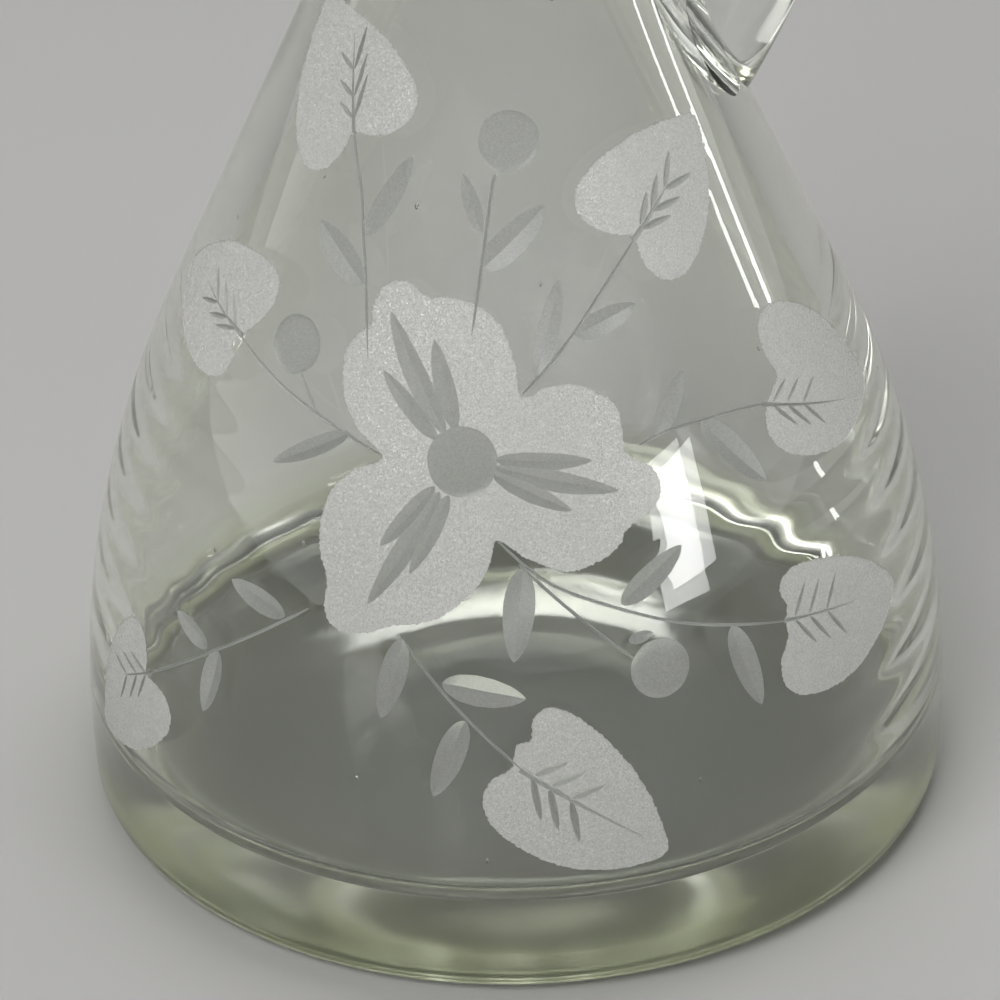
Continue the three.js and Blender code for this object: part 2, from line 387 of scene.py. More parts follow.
def turned(name, profile, segments):
    """A closed round piece: its half profile is drawn vertex by vertex and spun about the upright axis."""
    clear_selection()
    bpy.ops.mesh.primitive_plane_add(size=MM)
    piece = bpy.context.object
    piece.name = name
    bpy.ops.object.mode_set(mode="EDIT")
    bpy.ops.mesh.merge(type="CENTER")
    bpy.ops.transform.translate(value=(profile[0][0] * MM, 0, profile[0][1] * MM))
    for (r0, z0), (r1, z1) in zip(profile, profile[1:]):
        move = ((r1 - r0) * MM, 0, (z1 - z0) * MM)
        bpy.ops.mesh.extrude_vertices_move(TRANSFORM_OT_translate={"value": move})
    bpy.ops.mesh.select_all(action="SELECT")
    bpy.ops.mesh.spin(steps=segments, angle=2 * math.pi, center=(0, 0, 0), axis=(0, 0, 1))
    bpy.ops.mesh.select_all(action="SELECT")
    bpy.ops.mesh.remove_doubles(threshold=MM * 0.002)
    bpy.ops.mesh.normals_make_consistent(inside=False)
    bpy.ops.object.mode_set(mode="OBJECT")
    return piece


def combine(piece, tools, operation):
    """Cuts, joins or keeps the common part of a piece and a list of tools, which are used up."""
    for tool in tools:
        pick(piece)
        step = piece.modifiers.new("work", "BOOLEAN")
        step.operation = operation
        step.solver = "MANIFOLD"
        step.object = tool
        bpy.ops.object.modifier_apply(modifier=step.name)
        drop(tool)


def joined(pieces, finish):
    """Several pieces that don't touch as one piece with one finish."""
    clear_selection()
    for piece in pieces:
        piece.select_set(True)
    bpy.context.view_layer.objects.active = pieces[0]
    bpy.ops.object.join()
    for face in pieces[0].data.polygons:
        face.material_index = finish
    return pieces[0]


def finish_faces(piece, flat_frost=False):
    """Rounds a piece's shading, but not over sharp edges, between finishes or, if asked, on frosting."""
    pick(piece)
    bpy.ops.object.shade_smooth_by_angle(angle=math.radians(SHARP_EDGE))
    mesh = bmesh.new()
    mesh.from_mesh(piece.data)
    for edge in mesh.edges:
        finishes = {face.material_index for face in edge.link_faces}
        edge.smooth = edge.smooth and len(finishes) == 1
    for face in mesh.faces:
        face.smooth = face.material_index != FROST or not flat_frost
    mesh.to_mesh(piece.data)
    mesh.free()


# Shapes of the engraving


def sheet_of_squares(name, columns, rows):
    """A flat block, one square thick, of columns by rows squares from -1 to 1: the blank of a cut."""
    clear_selection()
    bpy.ops.mesh.primitive_grid_add(x_subdivisions=columns, y_subdivisions=rows, size=2)
    piece = bpy.context.object
    piece.name = name
    bpy.ops.object.mode_set(mode="EDIT")
    bpy.ops.mesh.select_all(action="SELECT")
    bpy.ops.mesh.extrude_region_move(TRANSFORM_OT_translate={"value": (0, 0, 1)})
    bpy.ops.mesh.select_all(action="SELECT")
    bpy.ops.mesh.normals_make_consistent(inside=False)
    bpy.ops.object.mode_set(mode="OBJECT")
    return piece


def flowing(a, b, c, d, t):
    """The value and the slope at t, from b to c, of a smooth line through four values."""
    pull0, pull1 = (c - a) / 2, (d - b) / 2
    bow, twist = 3 * (c - b) - 2 * pull0 - pull1, 2 * (b - c) + pull0 + pull1
    return b + t * (pull0 + t * (bow + t * twist)), pull0 + t * (2 * bow + 3 * t * twist)


def along_places(places, share):
    """The place and the heading at a share of a smooth line through places."""
    spans = len(places) - 1
    span = min(int(share * spans), spans - 1)
    near = [places[min(max(span + k, 0), spans)] for k in (-1, 0, 1, 2)]
    place, slope = zip(*(flowing(*values, share * spans - span) for values in zip(*near)))
    across, up = between_places(place, (place[0] + slope[0] * 0.01, place[1] + slope[1] * 0.01))
    length = math.hypot(across, up)
    return place, (across / length, up / length)


def mitre_cut(name, places, width, depth, fullness, steps):
    """A cut with a V section along places, as an edged wheel makes it; fullness shapes it lengthwise."""
    blank = sheet_of_squares(name, steps, 6)
    for vertex in blank.data.vertices:
        u, v, top = vertex.co
        share = (u + 1) / 2
        full = max(fullness(share), LEAST_FULLNESS)
        place, heading = along_places(places, share)
        aside = v * CUT_REACH * full * width / 2
        rise = ABOVE_WALL if top > 0.5 else depth * (CUT_START - full * (1 - abs(v * CUT_REACH)))
        vertex.co = on_wall(place, -heading[1] * aside, heading[0] * aside, rise)
    return blank


def leaf_fullness(share):
    return math.sin(math.pi * share**0.85) ** 0.8


def stem_fullness(share):
    return min(1.0, 0.45 + 4 * share, 0.45 + 4 * (1 - share))


def rib_fullness(share):
    return 1 - 0.75 * share


def hollow_cut(name, place, across, depth):
    """A round hollow, as the rim of a wheel grinds it."""
    clear_selection()
    bpy.ops.mesh.primitive_uv_sphere_add(segments=48, ring_count=20, radius=1)
    blank = bpy.context.object
    blank.name = name
    for vertex in blank.data.vertices:
        x, y, z = vertex.co
        out = math.hypot(x, y)
        floor = depth * (HOLLOW_START - (1 - out**HOLLOW_FLATNESS))
        rise = ABOVE_WALL * (0.1 + 0.9 * z) if z > 0.01 else floor
        vertex.co = on_wall(place, x * across / 2, y * across / 2, rise)
    return blank


def grainy(outline, seed):
    """An outline with the uneven edge that grit leaves, in steps of a small grain."""
    chance = random.Random(seed)
    points = []
    for (x0, y0), (x1, y1) in zip(outline, outline[1:] + outline[:1]):
        steps = max(1, round(math.dist((x0, y0), (x1, y1)) / EDGE_GRAIN))
        for step in range(steps):
            t = step / steps
            aside = chance.uniform(-EDGE_SPREAD, EDGE_SPREAD) / math.dist((x0, y0), (x1, y1))
            x, y = x0 + (x1 - x0) * t, y0 + (y1 - y0) * t
            points.append((x + (y1 - y0) * aside, y - (x1 - x0) * aside))
    return points


def smooth_outline(points, steps):
    """A closed outline drawn smoothly through points."""
    count, outline = len(points), []
    for i in range(count):
        near = [points[(i + k) % count] for k in (-1, 0, 1, 2)]
        for step in range(steps):
            outline.append(tuple(flowing(*values, step / steps)[0] for values in zip(*near)))
    return outline


def frosted_field(name, outline, place, seed):
    """A shallow field with an uneven, grainy floor inside an outline, laid on the wall at a place."""
    edge = grainy(outline, seed)
    clear_selection()
    bpy.ops.mesh.primitive_circle_add(vertices=len(edge), radius=1, fill_type="NGON")
    stencil = bpy.context.object
    for vertex, (x, y) in zip(stencil.data.vertices, edge):
        vertex.co = (x, y, STENCIL_BOTTOM)
    bpy.ops.object.mode_set(mode="EDIT")
    bpy.ops.mesh.select_all(action="SELECT")
    bpy.ops.mesh.extrude_region_move(TRANSFORM_OT_translate={"value": (0, 0, STENCIL_HEIGHT)})
    bpy.ops.mesh.select_all(action="SELECT")
    bpy.ops.mesh.normals_make_consistent(inside=False)
    bpy.ops.object.mode_set(mode="OBJECT")
    low = [min(p[k] for p in edge) - FIELD_MARGIN for k in (0, 1)]
    high = [max(p[k] for p in edge) + FIELD_MARGIN for k in (0, 1)]
    size = [h - l for l, h in zip(low, high)]
    field = sheet_of_squares(name, *(round(s / FROST_GRAIN) for s in size))
    chance = random.Random(seed + 1)
    for vertex in field.data.vertices:
        u, v, top = vertex.co
        spot = [l + s * (t + 1) / 2 for l, s, t in zip(low, size, (u, v))]
        spot = [s + FROST_GRAIN * chance.uniform(-GRAIN_SCATTER, GRAIN_SCATTER) for s in spot]
        rise = 1.0 if top > 0.5 else -chance.random() ** GRAIN_BIAS
        vertex.co = (*spot, rise)
    combine(field, [stencil], "INTERSECT")
    for vertex in field.data.vertices:
        x, y, rise = vertex.co
        floor = -FROST_DEPTH + FROST_RELIEF * rise
        vertex.co = on_wall(place, x, y, ABOVE_WALL if rise > 0.5 else floor)
    return field


HEART_HALF = [(-0.08, 0.24), (-0.13, 0.53), (-0.10, 0.80), (0.01, 0.97), (0.17, 1.0), (0.36, 0.95)]
HEART_HALF += [(0.56, 0.81), (0.75, 0.57), (0.90, 0.30)]


def heart_outline(heading, length, left, right, notch, lean):
    """A heart leaf at the origin with its tip along heading; notch and lean are shares of its length."""
    points = [(notch * length, 0.0)]
    points += [((x + lean * y) * length, y * left) for x, y in HEART_HALF]
    points += [(length, 0.0)]
    points += [((x - lean * y) * length, -y * right) for x, y in reversed(HEART_HALF)]
    cos, sin = math.cos(math.radians(heading)), math.sin(math.radians(heading))
    return [(x * cos - y * sin, x * sin + y * cos) for x, y in smooth_outline(points, 5)]


def place_from(place, across, up):
    """The place that lies across and up from another, in millimetres along the wall."""
    along = read_off(place[1], WALL_HEIGHTS, WALL_LENGTHS) + up
    height = read_off(along, WALL_LENGTHS, WALL_HEIGHTS)
    radius = read_off(height, WALL_HEIGHTS, WALL_RADII)
    return place[0] + math.degrees(across / radius), height


def heart_veins(place, heading, length, left, right, width):
    """The veins of a heart leaf: its midrib, those on its left and those on its right."""

    def vein(start, turn, reach, fullness):
        spots = []
        for along, aside in ((start, 0), (start, reach)):
            rib, branch = math.radians(heading), math.radians(heading + turn)
            across = along * math.cos(rib) + aside * math.cos(branch)
            spots.append(place_from(place, across, along * math.sin(rib) + aside * math.sin(branch)))
        return mitre_cut("vein", spots, width, VEIN_DEPTH, fullness, 14)

    sides = [[vein(start, *side, leaf_fullness) for start in VEIN_STARTS] for side in (left, right)]
    return [[vein(-0.5, 0, length, rib_fullness)], *sides]


# The spray. Hearts: place, heading from right to up, length, width of the left and right half, notch, lean.
HEARTS = [
    ((-32.5, 115), 128, 19.5, 10.9, 10.9, 0.0, 0.0),
    ((34.6, 103), 39, 19.1, 10.4, 9.9, 0.0, -0.03),
    ((57.6, 79.7), -26, 24.4, 10.3, 10.8, -0.01, -0.04),
    ((48.4, 49.4), -14, 23.9, 7.4, 11.7, -0.09, -0.02),
    ((9.2, 38.2), -42, 24.9, 8.6, 11.5, -0.13, -0.06),
    ((-50, 34.9), -132, 21, 9.2, 9.2, 0.0, 0.0),
    ((-48.7, 84.7), 175, 21.7, 7.5, 12.4, 0.0, 0.14),
]

# Midribs of the hearts: start, heading, length, turn and length of the veins on the left and right, width
VEIN_STARTS = (1.4, 4.3, 7.9)
MIDRIBS = [
    ((-32.8, 115.4), 108, 13.3, (47, 3.8), (-22, 6.6), 0.9),
    ((35, 102.8), 39, 9.5, (26, 5.3), (-34, 5.5), 1.3),
    ((52.7, 77.4), -22, 21, (49, 4.9), (-30, 6.2), 0.85),
    ((46.5, 49.6), -13, 15.6, (66, 5.5), (-43, 6.5), 0.85),
    ((7.9, 36.7), -36, 22, (55, 5.5), (-45, 7.3), 1.35),
    ((-49.2, 35.6), -150, 10, (40, 5.5), (-40, 5.5), 0.85),
    ((-47.4, 85.7), 170, 13.8, (28, 5.7), (-40, 5.6), 0.95),
]

# Stems, from the flower outwards
STEMS = [
    [(-18.5, 89), (-21.5, 98), (-24, 103.5), (-27, 109), (-32.8, 115.5)],
    [(0.5, 93), (2, 100.5), (4, 109.5), (5, 112.5)],
    [(9.5, 86), (19, 92.5), (26, 97.5), (35, 102.8)],
    [(28, 78), (34.5, 79), (46, 78.5), (53, 77.4)],
    [(5, 68), (12, 62.5), (20.5, 58.5), (31.5, 54), (46.5, 49.5)],
    [(-8.5, 55), (-3.5, 49), (1, 44), (7.9, 36.7)],
    [(-22, 56), (-35.5, 46), (-49.2, 35.6)],
    [(-13.5, 77.5), (-25.5, 80.5), (-32.5, 82), (-47.2, 85.6)],
]
SIDE_STEMS = [
    [(8, 65), (15.5, 58), (23.5, 50.5)],
    [(-26.5, 81), (-29.5, 83.5), (-32, 85.5)],
]

# Small leaves: base, tip, width
LEAVES = [
    ((-23.5, 103.5), (-15, 114), 3.4),
    ((-22, 97.5), (-35.5, 103.5), 4.6),
    ((2, 101), (16, 108.5), 4.4),
    ((2, 105.5), (-2.5, 112.5), 2.4),
    ((19.5, 92.5), (32, 95), 3.6),
    ((12, 88), (17.5, 99.5), 3.2),
    ((39.5, 79), (48.5, 68.5), 4.4),
    ((31, 78.5), (38.5, 85.5), 3.2),
    ((22, 58.5), (32, 64.5), 3.8),
    ((37.5, 52), (40.5, 39.5), 4.2),
    ((8.5, 64.5), (7, 52), 4.6),
    ((22.5, 53.5), (26, 54), 1.8),
    ((-2.5, 49), (8.5, 47), 4.6),
    ((0.5, 44), (-3.5, 32.5), 4.2),
    ((-8, 54.5), (-10.5, 43), 4),
    ((-36, 45.5), (-37.5, 35.5), 3.8),
    ((-38, 45), (-45, 47.5), 3.2),
    ((-25.5, 54), (-35.5, 56), 3.6),
    ((-19.5, 79.5), (-32.5, 73), 2.8),
]

# Berries: place, width
BERRIES = [((8.5, 116.5), 8.2), ((26.5, 49), 8.6), ((-33.5, 88), 8.2)]

# The flower: its middle, and its outline across and up from there, petal by petal
FLOWER_PLACE = (-0.5, 77.7)
FLOWER_DISC = 9.9
UPPER_PETAL = [
    (-11, -0.5), (-14.5, 2.5), (-17, 6.5), (-17.2, 12), (-15.4, 15.2), (-13.3, 17), (-13.2, 19.5),
    (-11.3, 22.6), (-8.4, 23.4), (-5.2, 21.7), (-2.4, 22), (1.5, 21), (4.6, 18.2), (6.6, 13.5),
    (7.4, 9),
]
RIGHT_PETAL = [
    (8.8, 8.9), (11.3, 9.9), (14.7, 9.9), (18.1, 8.4), (20.8, 6), (21.8, 2.5), (22.4, -0.4),
    (26, -2.8), (27.5, -5.5), (26.8, -8.2), (22.8, -10.6), (21.8, -12.6), (18.6, -14.5), (14.5, -15.2),
    (9.5, -13.3), (5, -10.5),
]
LOWER_PETAL = [
    (4.4, -13), (2.6, -16.8), (-1.2, -20.6), (-5, -22.5), (-9.5, -23.4), (-12.2, -24.7), (-15.4, -25.3),
    (-18.2, -24.6), (-19.2, -22), (-18.8, -18.6), (-20, -15), (-20, -11), (-18.6, -6.5), (-15, -2.8),
]

# Pointed cuts in the petals: from the disc to the tip, across and up from the flower's middle, and width
PETAL_CUTS = [
    ((-2.3, 3.4), (-10.7, 19.4), 3.7),
    ((-0.9, 4), (-4.4, 16.4), 3.3),
    ((-3.3, 2.6), (-11.5, 11.3), 2.9),
    ((4.2, 0.4), (17.9, -0.6), 2.9),
    ((4.2, -0.5), (21.9, -5.3), 3.4),
    ((4, -1.4), (15.4, -7.2), 3),
    ((-3.5, -3.4), (-11.3, -12.8), 3),
    ((-2.8, -4), (-13, -21.2), 3.6),
    ((-1.6, -4.4), (-6.9, -16), 3),
]


def frosted_work():
    """The frosted flower and heart leaves."""
    outline = smooth_outline(UPPER_PETAL + RIGHT_PETAL + LOWER_PETAL, 5)
    fields = [frosted_field("flower", outline, FLOWER_PLACE, 11)]
    for number, (place, *shape) in enumerate(HEARTS):
        fields.append(frosted_field("heart", heart_outline(*shape), place, 100 + 10 * number))
    return fields


def wheel_work():
    """All that the wheel cut, in three rounds: within a round no cut touches another."""
    first, second, third = rounds = [], [], []
    for places in STEMS:
        first.append(mitre_cut("stem", places, STEM_WIDTH, STEM_DEPTH, stem_fullness, 40))
    for places in SIDE_STEMS:
        third.append(mitre_cut("side_stem", places, STEM_WIDTH, STEM_DEPTH, stem_fullness, 30))
    for base, tip, width in LEAVES:
        second.append(mitre_cut("leaf", [base, tip], width, CUT_DEPTH, leaf_fullness, 28))
    for place, width in BERRIES:
        second.append(hollow_cut("berry", place, width, HOLLOW_DEPTH))
    for midrib in MIDRIBS:
        for cuts, veins in zip(rounds[::-1], heart_veins(*midrib)):
            cuts += veins
    for number, (start, end, width) in enumerate(PETAL_CUTS):
        places = [place_from(FLOWER_PLACE, *start), place_from(FLOWER_PLACE, *end)]
        rounds[number % 3].append(mitre_cut("petal_cut", places, width, PETAL_CUT_DEPTH, leaf_fullness, 24))
    disc = hollow_cut("disc", FLOWER_PLACE, FLOWER_DISC, HOLLOW_DEPTH)
    return [*rounds, [disc]]


def pull_spout(vessel):
    """Pulls the lip out and a little down on the side away from the handle."""
    pick(vessel)
    bpy.ops.object.mode_set(mode="EDIT")
    bpy.ops.mesh.select_all(action="DESELECT")
    mesh = bmesh.from_edit_mesh(vessel.data)
    for vertex in mesh.verts:
        near_rim = vertex.co.z > (LIP_EDGE_HEIGHT - SLACK) * MM
        aside = abs(math.atan2(vertex.co.y, -vertex.co.x))
        vertex.select_set(near_rim and aside < SPOUT_HOLD)
    mesh.select_flush(True)
    bmesh.update_edit_mesh(vessel.data)
    bpy.ops.transform.translate(
        value=(-SPOUT_REACH * MM, 0, -SPOUT_DIP * MM),
        use_proportional_edit=True,
        proportional_edit_falloff="SMOOTH",
        proportional_size=SPOUT_SPREAD * MM,
    )
    bpy.ops.object.mode_set(mode="OBJECT")


def unsettle(vessel):
    """Gives the inside and the underside the rings and slow waves of glass that was blown by hand."""
    loose = vessel.vertex_groups.new(name="loose")
    hollow_radius = BASE_RADIUS - HEEL_RADIUS - REST_RING_WIDTH
    for vertex in vessel.data.vertices:
        x, y, height = vertex.co / MM
        radius = math.hypot(x, y)
        under = height < PUNT_DEPTH + SLACK and radius < hollow_radius - SLACK
        within = radius < read_off(height, WALL_HEIGHTS, WALL_RADII) - WAVE_MARGIN
        inside = within and BASE_THICKNESS - SLACK < height < SEAT_BOTTOM_HEIGHT - WAVE_MARGIN
        if under or inside:
            share = min(max((SEAT_BOTTOM_HEIGHT - height) / WAVE_END, 0), 1)
            loose.add([vertex.index], share, "REPLACE")
        if inside and radius > 1:
            turn = math.atan2(x, -y) - math.radians(SPRAY_TURN)
            grown = 1 + ring_rise(height, turn) / radius
            vertex.co = Vector((x * grown, y * grown, height)) * MM
    pick(vessel)
    waves = bpy.data.textures.new("waves", "CLOUDS")
    waves.noise_scale = WAVE_LENGTH
    waves.noise_depth = 1
    push = vessel.modifiers.new("waves", "DISPLACE")
    push.texture = waves
    push.texture_coords = "LOCAL"
    push.strength = WAVE_DEPTH * MM
    push.vertex_group = loose.name
    bpy.ops.object.modifier_apply(modifier=push.name)
    vessel.vertex_groups.clear()
    bpy.data.textures.remove(waves)


def add_seeds(vessel):
    """Small bubbles closed in the glass, each a hollow that faces inwards."""
    pick(vessel)
    bpy.ops.object.mode_set(mode="EDIT")
    for place, depth, width in SEEDS:
        bpy.ops.mesh.select_all(action="DESELECT")
        bpy.ops.mesh.primitive_ico_sphere_add(
            subdivisions=2, radius=width / 2 * MM, location=on_wall(place, 0, 0, -depth)
        )
        bpy.ops.transform.resize(value=(1, 1, SEED_STRETCH), center_override=on_wall(place, 0, 0, -depth))
        bpy.ops.mesh.flip_normals()
    bpy.ops.object.mode_set(mode="OBJECT")


def make_vessel():
    profile = base_line() + outside_line() + rim_line() + inside_line()[::-1]
    vessel = turned("glass_vessel", profile, VESSEL_SEGMENTS)
    pull_spout(vessel)
    unsettle(vessel)
    combine(vessel, [joined(frosted_work(), FROST)], "DIFFERENCE")
    combine(vessel, [joined(cuts, CUT) for cuts in wheel_work()], "DIFFERENCE")
    add_seeds(vessel)
    finish_faces(vessel, flat_frost=True)
    return vessel


# Handle


def along_angle(start, angle, length):
    return start[0] + math.cos(angle) * length, start[1] + math.sin(angle) * length


def cubic(points, t):
    weights = ((1 - t) ** 3, 3 * t * (1 - t) ** 2, 3 * t * t * (1 - t), t**3)
    return tuple(sum(w * p[k] for w, p in zip(weights, points)) for k in (0, 1))


def handle_line():
    """The middle line of the handle, outwards and upwards, from the shoulder round to the neck."""
    foot_height = NECK_CORNER_HEIGHT - FOOT_DROP
    foot = (cone_radius(foot_height), foot_height)
    crest = (NECK_RADIUS, RIM_HEIGHT - CREST_DROP)
    turn = (NECK_RADIUS + HANDLE_REACH, RIM_HEIGHT - BEND_DROP)
    foot_lead = along_angle(foot, FOOT_RISE_ANGLE, FOOT_LEAD)
    crest_lead = along_angle(crest, CREST_RISE_ANGLE, CREST_LEAD)
    rise = (foot, foot_lead, (turn[0], turn[1] - BEND_LEAD), turn)
    fall = (turn, (turn[0], turn[1] + BEND_LEAD), crest_lead, crest)
    line = [along_angle(foot, FOOT_RISE_ANGLE, -FOOT_LEAD)]
    line += straight(line[0], foot, 12)
    line += [cubic(rise, step / 32) for step in range(1, 33)]
    line += [cubic(fall, step / 32) for step in range(1, 33)]
    line += straight(crest, along_angle(crest, CREST_RISE_ANGLE, -CREST_THICKNESS), 8)
    return line


def handle_section(share):
    """Thickness and width of the handle at a share of its length."""
    to_foot = 1 - eased(share, *FOOT_SPAN)
    to_crest = eased(share, *CREST_SPAN)
    thickness = GRIP_THICKNESS + (FOOT_THICKNESS - GRIP_THICKNESS) * to_foot
    thickness += (CREST_THICKNESS - GRIP_THICKNESS) * to_crest
    width = GRIP_WIDTH + (FOOT_WIDTH - GRIP_WIDTH) * to_foot + (CREST_WIDTH - GRIP_WIDTH) * to_crest
    return thickness, width


def handle_rings():
    line = handle_line()
    lengths = [0.0]
    for a, b in zip(line, line[1:]):
        lengths.append(lengths[-1] + math.dist(a, b))
    rings = []
    for i, (x, z) in enumerate(line):
        before, after = line[max(i - 1, 0)], line[min(i + 1, len(line) - 1)]
        heading = math.atan2(after[1] - before[1], after[0] - before[0])
        thickness, width = handle_section(lengths[i] / lengths[-1])
        centre = Vector((x, 0, z))
        outward = Vector((math.sin(heading), 0, -math.cos(heading)))
        ring = []
        for side in range(HANDLE_SIDES):
            turn = 2 * math.pi * side / HANDLE_SIDES
            cos, sin = math.cos(turn), math.sin(turn)
            fill = sum(abs(part) ** HANDLE_SQUARENESS for part in (cos, sin)) ** (-1 / HANDLE_SQUARENESS)
            point = centre + outward * (fill * cos * thickness / 2) + Vector((0, fill * sin * width / 2, 0))
            ring.append(point * MM)
        rings.append(ring)
    return rings


def lay_ring(piece, ring, last):
    """Moves the selected end of a drawn rod from its last ring of points to the next one."""
    mesh = bmesh.from_edit_mesh(piece.data)
    for vertex in mesh.verts:
        if vertex.select:
            spot = min(range(len(last)), key=lambda k: (vertex.co - last[k]).length_squared)
            vertex.co = ring[spot]
    bmesh.update_edit_mesh(piece.data)


def vessel_core():
    """The vessel's outside, drawn in by the depth of the weld and filled, to trim the handle's ends to."""
    line = [p for p in outside_line(-WELD_DEPTH) if p[1] > SIDE_CORNER_HEIGHT]
    return turned("core", [(0.0, line[0][1]), *line, (0.0, line[-1][1])], VESSEL_SEGMENTS)


def make_handle():
    rings = handle_rings()
    clear_selection()
    bpy.ops.mesh.primitive_circle_add(vertices=HANDLE_SIDES, radius=MM, fill_type="NGON")
    handle = bpy.context.object
    handle.name = "glass_handle"
    start = [vertex.co.copy() for vertex in handle.data.vertices]
    bpy.ops.object.mode_set(mode="EDIT")
    bpy.ops.mesh.select_all(action="SELECT")
    for last, ring in zip([start, *rings], rings):
        if last is not start:
            bpy.ops.mesh.extrude_region_move()
        lay_ring(handle, ring, last)
    bpy.ops.mesh.select_all(action="SELECT")
    bpy.ops.mesh.normals_make_consistent(inside=False)
    bpy.ops.object.mode_set(mode="OBJECT")
    combine(handle, [vessel_core()], "DIFFERENCE")
    finish_faces(handle)
    return handle


# Stopper


def stopper_line():
    """The half profile of the stopper: ground plug, waist, ball."""
    plug_top = (SEAT_TOP_RADIUS - SEAT_GAP, LIP_START_HEIGHT)
    plug_bottom = SEAT_BOTTOM_RADIUS - SEAT_GAP
    middle = RIM_HEIGHT + BALL_CLEARANCE + BALL_HEIGHT / 2
    ball_start = -math.acos(WAIST_RADIUS / BALL_RADIUS)
    waist_top = middle + BALL_HEIGHT / 2 * math.sin(ball_start)

    def on_ball(turn):
        return BALL_RADIUS * math.cos(turn), middle + BALL_HEIGHT / 2 * math.sin(turn)

    line = [(0.0, SEAT_BOTTOM_HEIGHT)]
    line += straight(line[0], (plug_bottom - PLUG_CHAMFER, SEAT_BOTTOM_HEIGHT), 4)
    chamfer_top = (plug_bottom + SEAT_TAPER * PLUG_CHAMFER, SEAT_BOTTOM_HEIGHT + PLUG_CHAMFER)
    line += bend(line[-1], (plug_bottom, SEAT_BOTTOM_HEIGHT), chamfer_top, 6)
    line += straight(line[-1], plug_top, 10)
    flare_top = (WAIST_RADIUS, LIP_START_HEIGHT + WAIST_FLARE)
    line += bend(line[-1], (WAIST_RADIUS, LIP_START_HEIGHT), flare_top, 14)
    line += straight(line[-1], (WAIST_RADIUS, waist_top - WAIST_FILLET), 4)
    ball_start += WAIST_FILLET / BALL_RADIUS
    line += bend(line[-1], (WAIST_RADIUS, waist_top), on_ball(ball_start), 8)
    steps = 40
    line += [on_ball(ball_start + (math.pi / 2 - ball_start) * step / steps) for step in range(1, steps)]
    return line + [(0.0, middle + BALL_HEIGHT / 2)]


def make_stopper():
    """The stopper, ground where its plug lies along the seat."""
    stopper = turned("glass_stopper", stopper_line(), STOPPER_SEGMENTS)
    for face in stopper.data.polygons:
        if face.center.z < LIP_START_HEIGHT * MM and abs(face.normal.z) < 0.5:
            face.material_index = FROST
    finish_faces(stopper)
    return stopper


# Materials


def shader_group(name, inputs, outputs):
    group = bpy.data.node_groups.new(name, "ShaderNodeTree")
    for label, kind in inputs:
        group.interface.new_socket(label, in_out="INPUT", socket_type=kind)
    for label, kind in outputs:
        group.interface.new_socket(label, in_out="OUTPUT", socket_type=kind)
    return group


def add_node(tree, kind, values=None, **settings):
    node = tree.nodes.new(kind)
    for key, value in settings.items():
        setattr(node, key, value)
    for key, value in (values or {}).items():
        node.inputs[key].default_value = value
    return node


def link(tree, *ends):
    """Links pairs of an output and an input."""
    for start, end in zip(ends[::2], ends[1::2]):
        tree.links.new(start, end)


def melt_group():
    """Slow waves and cords that hand-worked glass keeps: a height for its surface and a mask of streaks."""
    inputs = [("Vector", "NodeSocketVector"), ("Wave Scale", "NodeSocketFloat")]
    inputs += [("Streak Scale", "NodeSocketFloat")]
    group = shader_group("melt", inputs, [("Height", "NodeSocketFloat"), ("Streaks", "NodeSocketFloat")])
    start = group.nodes.new("NodeGroupInput")
    end = group.nodes.new("NodeGroupOutput")
    waves = add_node(group, "ShaderNodeTexNoise", {"Detail": 1.0, "Roughness": 0.4, "Distortion": 0.6})
    squeeze = add_node(group, "ShaderNodeMapping", {"Scale": (1, 1, 0.22)})
    streaks = add_node(group, "ShaderNodeTexNoise", {"Detail": 3.0, "Roughness": 0.55, "Distortion": 1.4})
    link(group, start.outputs["Vector"], waves.inputs["Vector"])
    link(group, start.outputs["Wave Scale"], waves.inputs["Scale"])
    link(group, start.outputs["Vector"], squeeze.inputs["Vector"])
    link(group, squeeze.outputs["Vector"], streaks.inputs["Vector"])
    link(group, start.outputs["Streak Scale"], streaks.inputs["Scale"])
    link(group, waves.outputs["Fac"], end.inputs["Height"], streaks.outputs["Fac"], end.inputs["Streaks"])
    return group


